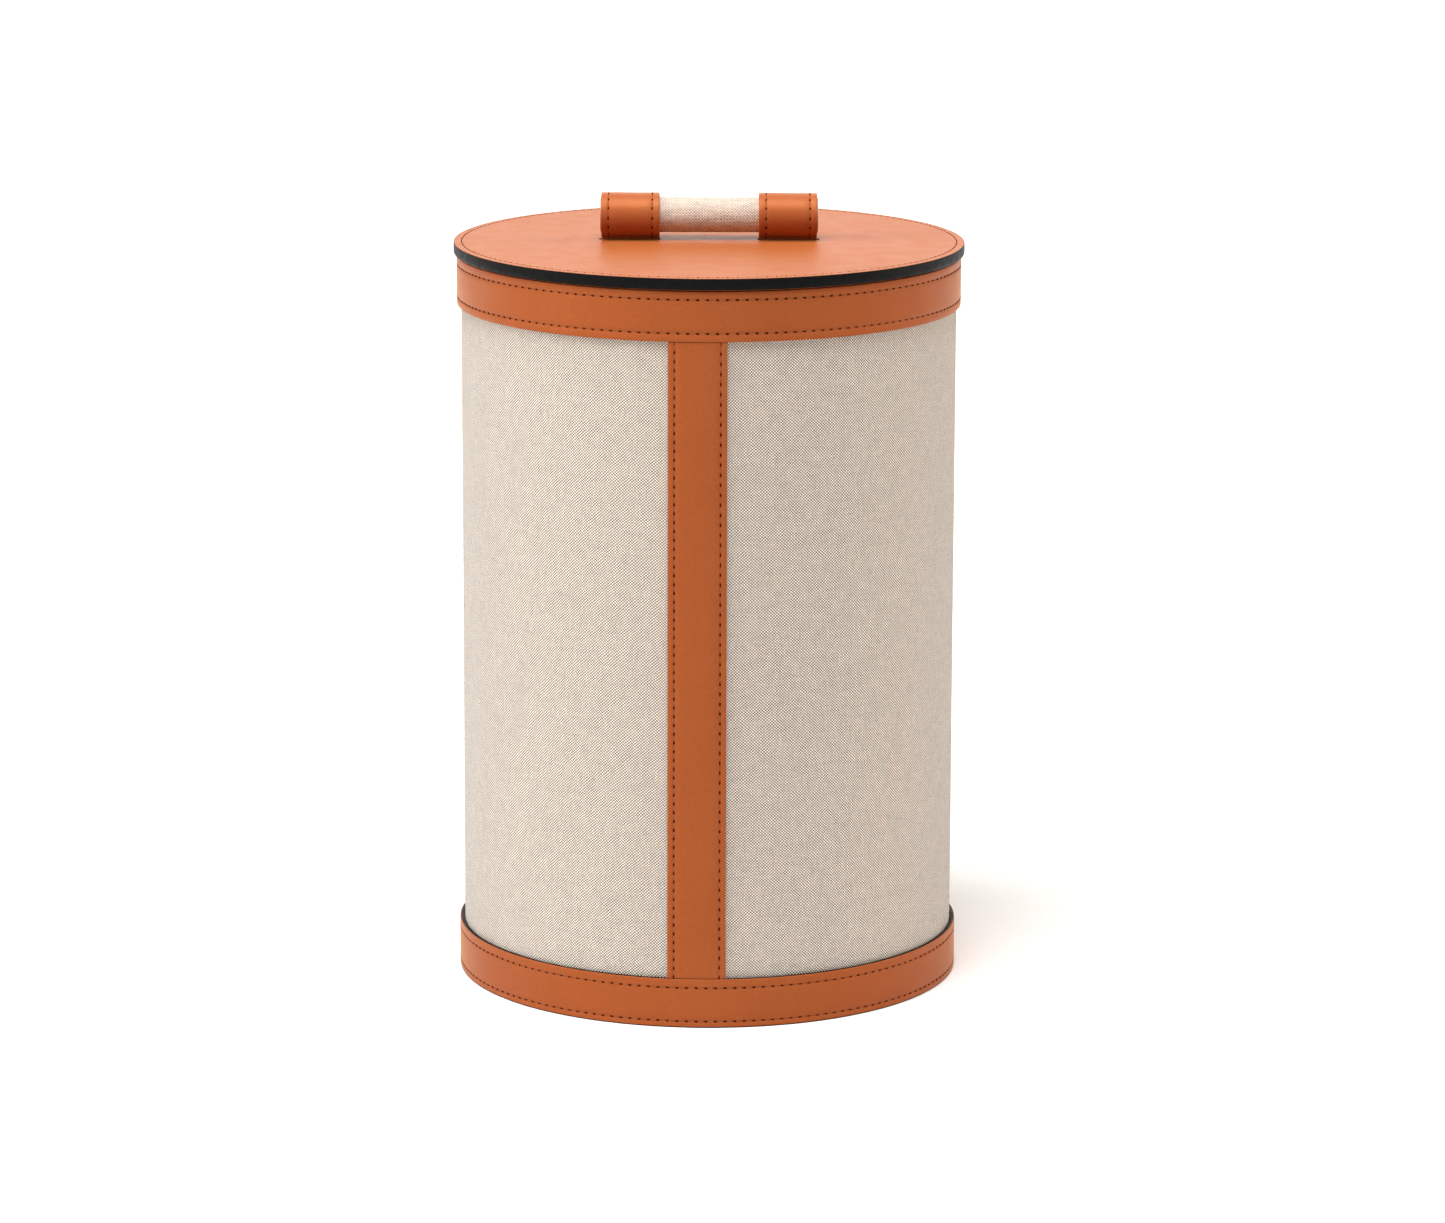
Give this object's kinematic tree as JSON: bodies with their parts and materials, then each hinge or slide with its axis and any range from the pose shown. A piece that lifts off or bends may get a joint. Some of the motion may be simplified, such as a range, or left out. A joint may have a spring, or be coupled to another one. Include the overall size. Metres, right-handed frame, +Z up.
{
  "type": "storage bin",
  "caption": "Round linen-covered storage bin with tan leather bands and a lift-off leather lid with a rod handle.",
  "frame": {"origin": "middle of the underside, on the surface the bin stands on", "axes": "+Z up; -Y is the front, where the leather strap runs down; the handle rod runs along X"},
  "size_m": [0.2572, 0.2572, 0.399],
  "materials": {
    "leather": "smooth tan leather, semi-gloss",
    "edge_paint": "black painted leather edge",
    "thread": "tan sewing thread",
    "linen": "plain-weave natural linen",
    "lining": "plain cotton lining",
    "board": "stiff fibreboard",
    "dowel": "beech dowel"
  },
  "bodies": {
    "bin": {"base_cover": "leather", "base_board": "board", "base_lining": "lining", "wall_board": "board", "wall_lining": "lining", "linen_cover": "linen", "rim_facing": "leather", "top_band": "leather", "bottom_band": "leather", "front_strap": "leather"},
    "lid": {"lid_under_leather": "leather", "lid_board": "board", "lid_top_leather": "leather", "plug_board": "board", "plug_band": "leather", "plug_lining": "lining", "handle_dowel": "dowel", "handle_linen": "linen", "loop_left": "leather", "loop_right": "leather", "loop_left_lining": "leather", "loop_right_lining": "leather"}
  },
  "joints": [
    {"name": "lid_lift", "type": "slide", "parent": "bin", "child": "lid", "axis": [0, 0, 1], "range_m": [0, 0.15]}
  ]
}
